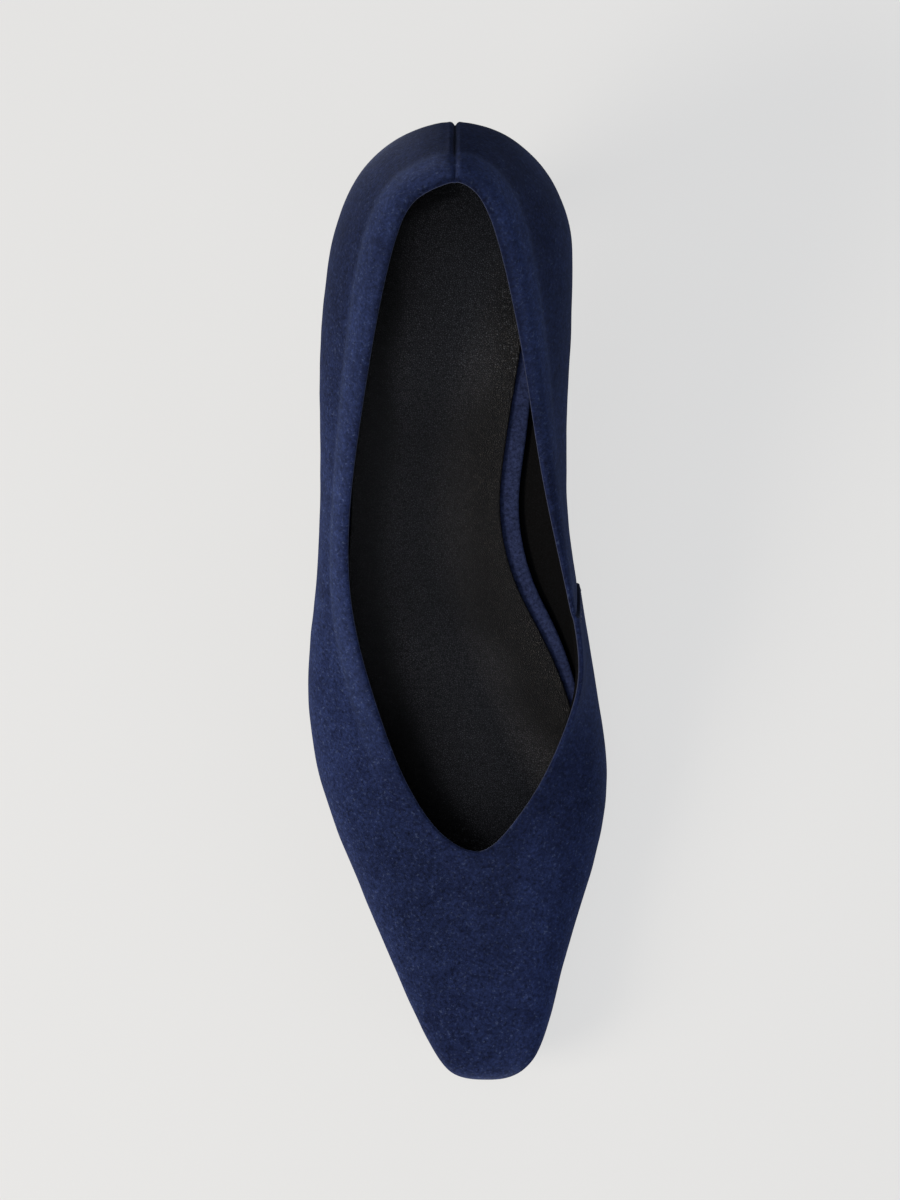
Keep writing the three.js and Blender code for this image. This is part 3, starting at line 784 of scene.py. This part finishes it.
def crease_upper(upper, ribs):
    """Keeps the feather edge, the margin and the lapped edge crisp."""
    ends = edge_ends(upper)
    ring_pair = read(upper, "ring")[ends]
    column_pair = read(upper, "column").astype(int)[ends]
    along_ring = ring_pair[:, 0] == ring_pair[:, 1]
    amounts = np.zeros(len(ends))
    for ring, amount in ((MARGIN, 1.0), (FEATHER, 0.8), (CORNER, 1.0), (MARGIN_TOP, 1.0)):
        amounts[along_ring & (ring_pair[:, 0] == ring)] = amount
    up_column = column_pair[:, 0] == column_pair[:, 1]
    outside = ring_pair.max(axis=1) <= RIM
    for rib in (SIDE_SEAM_RIB - SIDE_SEAM_STEP, SIDE_SEAM_RIB + SIDE_SEAM_STEP):
        seam = int(np.abs(ribs - rib).argmin())
        amounts[up_column & outside & (column_pair[:, 0] == seam)] = 0.75
    crease(upper, amounts)


def work_upper(upper):
    """Raises the collar's ridge and the roll beside the back seam, sinks the seams, puckers the
    band, and writes the tones and marks that the suede reads."""
    points = points_of(upper)
    across, along = points[:, 0], points[:, 1]
    outside = read(upper, "outside")
    climb = read(upper, "climb")
    collar = read(upper, "collar") * outside
    from_back_seam = read(upper, "from_back_seam")
    on_band = collar * ramp(climb, *BAND_UP)
    on_inner_side = outside * (across > INNER_SIDE)
    seam_fade = 1.0 - SEAM_FADE * on_band

    # Painted light and shade by zone: darker towards the heel, paler at the toe, along the outer
    # side and at the front of the inner side; the band is paled by wear and painted light.
    from_heel = ramp(along, *HEEL_ALONG) * (1.0 - on_band)
    from_toe = ramp(along, *TOE_ALONG)
    lit_outer_side = ramp(across, *OUTER_LIGHT_ACROSS) * ramp(along, *OUTER_LIGHT_ALONG)
    lit_inner_front = ramp(across, *INNER_LIGHT_ACROSS) * ramp(along, *INNER_LIGHT_ALONG)
    tone = NAP_TONE + BAND_TONE * on_band + HEEL_PAINTED_SHADE * from_heel + TOE_PAINTED_LIGHT * from_toe
    tone = tone + OUTER_PAINTED_LIGHT * lit_outer_side + INNER_PAINTED_LIGHT * lit_inner_front

    seam_line = outside * bell(from_back_seam, 0.3 * MM) * seam_fade
    seam_roll = outside * bell(from_back_seam - 1.2 * MM, 0.7 * MM) * (1.0 - on_band)
    ridge_line = collar * bell(climb, 1.0 * MM) * (1.0 - bell(from_back_seam, 1.5 * MM))
    under_lap = on_inner_side * bell(read(upper, "from_side_seam") - 1.0 * MM, 0.5 * MM)
    relief = RIDGE_RISE * ridge_line - SEAM_SINK * seam_line
    relief = relief + ROLL_RISE * seam_roll - LAP_SINK * under_lap

    write(upper, "tone", tone)
    # Painted light: the band paled by wear and painted light, the ridge by wear and a painted
    # highlight.
    write(upper, "wear_and_painted_light", BAND_WEAR_AND_LIGHT * on_band + RIDGE_WEAR_AND_HIGHLIGHT * ridge_line)
    write(upper, "back_seam", outside * seam_fade)
    write(upper, "inner_side", on_inner_side)
    raise_by(upper, "relief", relief * MM)
    puckered = collar * ramp(climb, *PUCKERS_UP) * ramp(along, *PUCKERS_ALONG)
    ruffle(upper, "puckers", puckered, *PUCKERS)
    ruffle(upper, "handling", outside * ramp(climb, *HANDLING_UP), *HANDLING)


def side_seam_thread(upper, base, grid, lap):
    """The row of stitches that holds the lapped edge, one stitch made and then copied."""
    bpy.ops.mesh.primitive_uv_sphere_add(segments=8, ring_count=6, radius=1.0)
    stitch = bpy.context.object
    edit(stitch)
    bpy.ops.transform.resize(value=STITCH)
    close()
    bpy.ops.object.shade_smooth()
    edge = base[grid[FEATHER : TOP + 1, lap]]
    before = base[grid[FEATHER : TOP + 1, lap - 1]]
    run = run_along(edge)
    row = []
    for along in np.arange(STITCH_FIRST, run[-1] - STITCH_LAST, STITCH_SPACING):
        here = np.array([np.interp(along, run, edge[:, axis]) for axis in range(3)])
        ahead = np.array([np.interp(along + 0.5 * MM, run, edge[:, axis]) for axis in range(3)])
        front = np.array([np.interp(along, run, before[:, axis]) for axis in range(3)])
        off = (front - here) / np.linalg.norm(front - here) * STITCH_IN
        _, seat, normal, _ = upper.closest_point_on_mesh(Vector(here + off))
        lie = Vector(ahead - here).normalized()
        across = lie.cross(normal).normalized()
        turn = Matrix((across, lie, normal)).transposed().to_4x4()
        copy = bpy.data.objects.new("stitch", stitch.data.copy())
        bpy.context.collection.objects.link(copy)
        copy.data.transform(Matrix.Translation(seat + normal * 0.03 * MM) @ turn)
        row.append(copy)
    bpy.data.objects.remove(stitch)
    take(row[0])
    for copy in row:
        copy.select_set(True)
    bpy.ops.object.join()
    row[0].name = "side_seam_thread"
    return row[0]


upper, grid, ribs = make_upper()
base = points_of(upper)
lap = int(np.abs(ribs - SIDE_SEAM_RIB + SIDE_SEAM_STEP).argmin())
measure_upper(upper, base, grid, ribs, lap)
line_upper(upper)
crease_upper(upper, ribs)
smooth(upper)
work_upper(upper)
ride_as(upper, "upper", "suede", suede_upper, lining)
seam_thread = side_seam_thread(upper, base, grid, lap)
ride_as(seam_thread, None, "suede", thread)


# Footbed and sock: sheets that follow the CAD piece's outline and slope.
def slices(node_name, stations):
    """Left and right edge and top height of a CAD piece, at stations along it."""
    ends = edge_ends(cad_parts[node_name])
    points = points_of(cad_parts[node_name])
    first, second = points[ends[:, 0]], points[ends[:, 1]]
    found = []
    for y in stations:
        crosses = (first[:, 1] <= y) != (second[:, 1] <= y)
        a, b = first[crosses], second[crosses]
        share = (y - a[:, 1]) / (b[:, 1] - a[:, 1])
        x = a[:, 0] + share * (b[:, 0] - a[:, 0])
        z = a[:, 2] + share * (b[:, 2] - a[:, 2])
        found.append((x.min(), x.max(), z.max()))
    return np.array(found).T


def sheet_on(node_name, name, rounding, crown, thickness, bulge=0.0):
    """A sheet with a rounded edge, crowned beside it, that keeps a CAD piece's outline.
    The bulge lets its inner side swell out at the arch."""
    low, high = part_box(node_name)
    rows, across = SHEET_ROWS, SHEET_COLUMNS
    bpy.ops.mesh.primitive_grid_add(x_subdivisions=across, y_subdivisions=rows, size=1)
    piece = bpy.context.object
    piece.name = name
    points = points_of(piece)
    row = np.rint((points[:, 1] + 0.5) * rows).astype(int)
    column = np.rint((points[:, 0] + 0.5) * across).astype(int)
    turn = np.linspace(0.0, math.pi, rows + 1)
    middle = (low.y + high.y) / 2
    half = (high.y - low.y) / 2 - SHEET_SPARE
    stations = middle - half * np.cos(turn)
    left, right, top = slices(node_name, stations)
    right += bulge * ramp(stations, -0.036, -0.020) * ramp(stations, 0.068, 0.046)
    width = (right - left)[row]
    steps = np.array(EDGE_STEPS) * MM
    inner = len(steps) - 1
    from_side = np.minimum(column, across - column)
    share_in = np.clip((from_side - inner) / (across / 2 - inner), 0.0, 1.0)
    margin = steps[np.minimum(from_side, inner)] * np.minimum(1.0, width / NARROW)
    edge = steps[inner] * np.minimum(1.0, width / NARROW)
    reach = np.where(from_side <= inner, margin, edge + share_in * (width / 2 - edge))
    x = np.where(column <= across / 2, left[row] + reach, right[row] - reach)
    y = stations[row]
    outline = np.concatenate([np.stack([left, stations], 1), np.stack([right, stations], 1)[::-1]])
    distance = np.full(len(x), 1.0)
    for a, b in zip(outline, np.roll(outline, -1, axis=0)):
        run = b - a
        length = max(float(run @ run), 1e-12)
        share = np.clip(((x - a[0]) * run[0] + (y - a[1]) * run[1]) / length, 0, 1)
        gap = np.hypot(x - a[0] - share * run[0], y - a[1] - share * run[1])
        distance = np.minimum(distance, gap)
    short = np.clip(rounding - distance, 0.0, rounding)
    drop = rounding - np.sqrt(np.maximum(rounding**2 - short**2, 0.0))
    swell = crown * np.sin(np.clip(distance / STRIP, 0, 1) * math.pi) ** 2
    put_points(piece, np.stack([x, y, top[row] - drop + swell], 1))
    finish_with(piece, "SOLIDIFY", thickness=thickness, offset=-1.0)
    smooth(piece)
    bpy.ops.object.shade_smooth()
    return piece


footbed = sheet_on(
    "footbed",
    "footbed_pad",
    rounding=0.9 * MM,
    crown=0.3 * MM,
    thickness=2.0 * MM,
    bulge=1.1 * MM,
)
ride_as(footbed, "footbed", "footbed_suede", suede_footbed)


def mark_sock(sock, rim_points):
    """Writes how pale the sock is made, partly by the foot's wear and partly by painted light, and
    where its pebbles get a painted highlight. Its margin under the collar's outer side stays black:
    a painted shadow of the collar."""
    points = points_of(sock)
    across, along = points[:, 0], points[:, 1]
    rim = rim_points[rim_points[:, 0] < 0.0]
    rim = rim[np.argsort(rim[:, 1])]
    from_collar = across - np.interp(along, rim[:, 1], rim[:, 0])
    under_heel, at_back = ramp(along, *HEEL_SEAT), ramp(along, *SEAT_END)
    under_ball, under_toes = ramp(along, *BALL_SEAT), ramp(along, *TOES_SEAT)
    # Paler by wear and painted light, more so under the heel, the ball and the toes.
    wear_and_painted_light = SOCK_WEAR_AND_LIGHT + HEEL_WEAR_AND_LIGHT * under_heel
    wear_and_painted_light = wear_and_painted_light + BALL_WEAR_AND_LIGHT * under_ball + TOES_WEAR_AND_LIGHT * under_toes
    # Where the paled part begins beside the collar, past a margin of painted shadow, and where it
    # fades towards the arch.
    margin = 5.5 * MM - 3.5 * MM * under_heel - 5.0 * MM * at_back
    fade = -0.005 + (0.007 + 0.008 * at_back) * under_heel + 0.011 * under_ball + 0.019 * under_toes
    shape = ramp(from_collar - margin, 0.0, 8 * MM) * ramp(across - fade, 14 * MM, 0.0)
    write(sock, "trodden_and_painted_light", wear_and_painted_light * shape)
    # Painted highlight on the pebbles of the heel's inner half, and painted light lifting the throat
    # out of its shade.
    in_heel = ramp(along, 0.050, 0.075) * ramp(across, -0.006, 0.004)
    in_throat = ramp(along, -0.03, -0.06) * ramp(across, -0.006, 0.008)
    write(sock, "lit", 0.06 + 0.6 * in_heel + 0.6 * in_throat)


sock = sheet_on("sock", "sock_leather", rounding=0.3 * MM, crown=0.0, thickness=0.9 * MM)
mark_sock(sock, base[grid[RIM]])
ride_as(sock, "sock", "sock_leather", sock_hide)


def cover_heel():
    """The covered heel, with crisp corners down its breast."""
    heel = copy_of("heel", "heel_cover")
    edit(heel)
    flat = math.radians(40)
    bpy.ops.mesh.tris_convert_to_quads(face_threshold=flat, shape_threshold=flat)
    close()
    angles = edge_angles(heel)
    crease(heel, np.where(angles > 55, 1.0, np.where(angles > 32, 0.8, 0.0)))
    smooth(heel)
    bpy.ops.object.shade_smooth_by_angle(angle=math.radians(50))
    return heel


def mark_join(heel):
    """Writes how far each point lies from the join down the middle of the breast."""
    points = points_of(heel)
    normals = np.array([vertex.normal[:] for vertex in heel.data.vertices])
    middle = np.zeros(len(points))
    for low in np.arange(0.0, 0.06, 2 * MM):
        level = (points[:, 2] >= low) & (points[:, 2] < low + 2 * MM)
        if level.any():
            middle[level] = (points[level, 0].min() + points[level, 0].max()) / 2
    on_breast = normals[:, 1] < -0.25
    beside = np.where(on_breast, np.abs(points[:, 0] - middle), 5 * MM)
    write(heel, "from_join", np.minimum(beside, 5 * MM))


heel = cover_heel()
mark_join(heel)
ride_as(heel, "heel", "suede", suede_heel)


def soften(node_name, name, width, segments):
    """A CAD piece with its edges rounded off."""
    piece = copy_of(node_name, name)
    edit(piece)
    bpy.ops.mesh.dissolve_limited(angle_limit=math.radians(0.3))
    close()
    finish_with(
        piece,
        "BEVEL",
        width=width,
        segments=segments,
        limit_method="ANGLE",
        angle_limit=math.radians(50),
        harden_normals=False,
    )
    take(piece)
    bpy.ops.object.shade_smooth_by_angle(angle=math.radians(40))
    return piece


outsole = soften("outsole", "outsole_leather", 0.5 * MM, 3)
ride_as(outsole, "outsole", "sole_leather", sole_hide)
lift = soften("top_lift", "top_lift_rubber", 0.6 * MM, 3)
ride_as(lift, "top_lift", "lift_rubber", rubber)

# Camera straight above, as the picture was taken.
CAMERA_PLACE = (-0.0019, 0.0031, 1.2)
LENS = 130.2
bpy.ops.object.camera_add(location=CAMERA_PLACE, rotation=(0, 0, 0))
camera = bpy.context.object
camera.data.lens = LENS
camera.data.sensor_width = 36
camera.data.clip_start = 0.05
bpy.context.scene.camera = camera

# A plain pale floor under plain soft studio light, a hair below the sole.
FLOOR_GLOW = 0.645
FLOOR_DROP = 0.1 * MM
floor_material, floor_tree, floor_shader, _ = new_material(
    "Floor", Base_Color=(0.10, 0.10, 0.10, 1), Roughness=0.9, Emission_Color=(1, 1, 1, 1)
)
# Like a lit table: its own glow thins the shadows, but it doesn't light the shoe from below.
seen = node(floor_tree, "ShaderNodeLightPath").outputs["Is Camera Ray"]
glow = maths(floor_tree, "MULTIPLY", seen, FLOOR_GLOW)
floor_tree.links.new(glow, floor_shader.inputs["Emission Strength"])
bpy.ops.mesh.primitive_plane_add(size=8, location=(0, 0, -FLOOR_DROP))
floor = bpy.context.object
floor.name = "floor"
floor.data.materials.append(floor_material)


def soft_light(name, direction, distance, size, power, color):
    """A square softbox that faces the shoe."""
    away = Vector(direction).normalized()
    lamp = bpy.data.lights.new(name, "AREA")
    lamp.shape = "SQUARE"
    lamp.size = size
    lamp.energy = power
    lamp.color = color
    box = bpy.data.objects.new(name, lamp)
    bpy.context.collection.objects.link(box)
    box.location = away * distance
    box.rotation_euler = away.to_track_quat("Z", "Y").to_euler()


WARM = (1.0, 0.91, 0.77)
COOL = (0.90, 0.95, 1.0)
# Name, direction from the shoe, distance and size in metres, power in watts, color.
LIGHTS = (
    ("key light", (-0.78, -0.3, 0.55), 1.6, 0.7, 36, WARM),
    ("overhead light", (-0.3, 0.0, 0.95), 1.6, 1.2, 5, COOL),
    ("toe light", (0.0, -0.6, 0.8), 1.8, 1.4, 5, COOL),
    ("inner side light", (0.85, -0.5, 0.3), 1.8, 1.2, 14, COOL),
    ("heel light", (0.3, 0.93, 0.15), 1.8, 1.2, 11, COOL),
)
for row in LIGHTS:
    soft_light(*row)

ROOM_LIGHT = 0.08
world = bpy.data.worlds.new("Studio")
bpy.context.scene.world = world
world.use_nodes = True
background = world.node_tree.nodes["Background"]
background.inputs["Color"].default_value = (1, 1, 1, 1)
background.inputs["Strength"].default_value = ROOM_LIGHT
bpy.context.scene.view_settings.view_transform = "Standard"
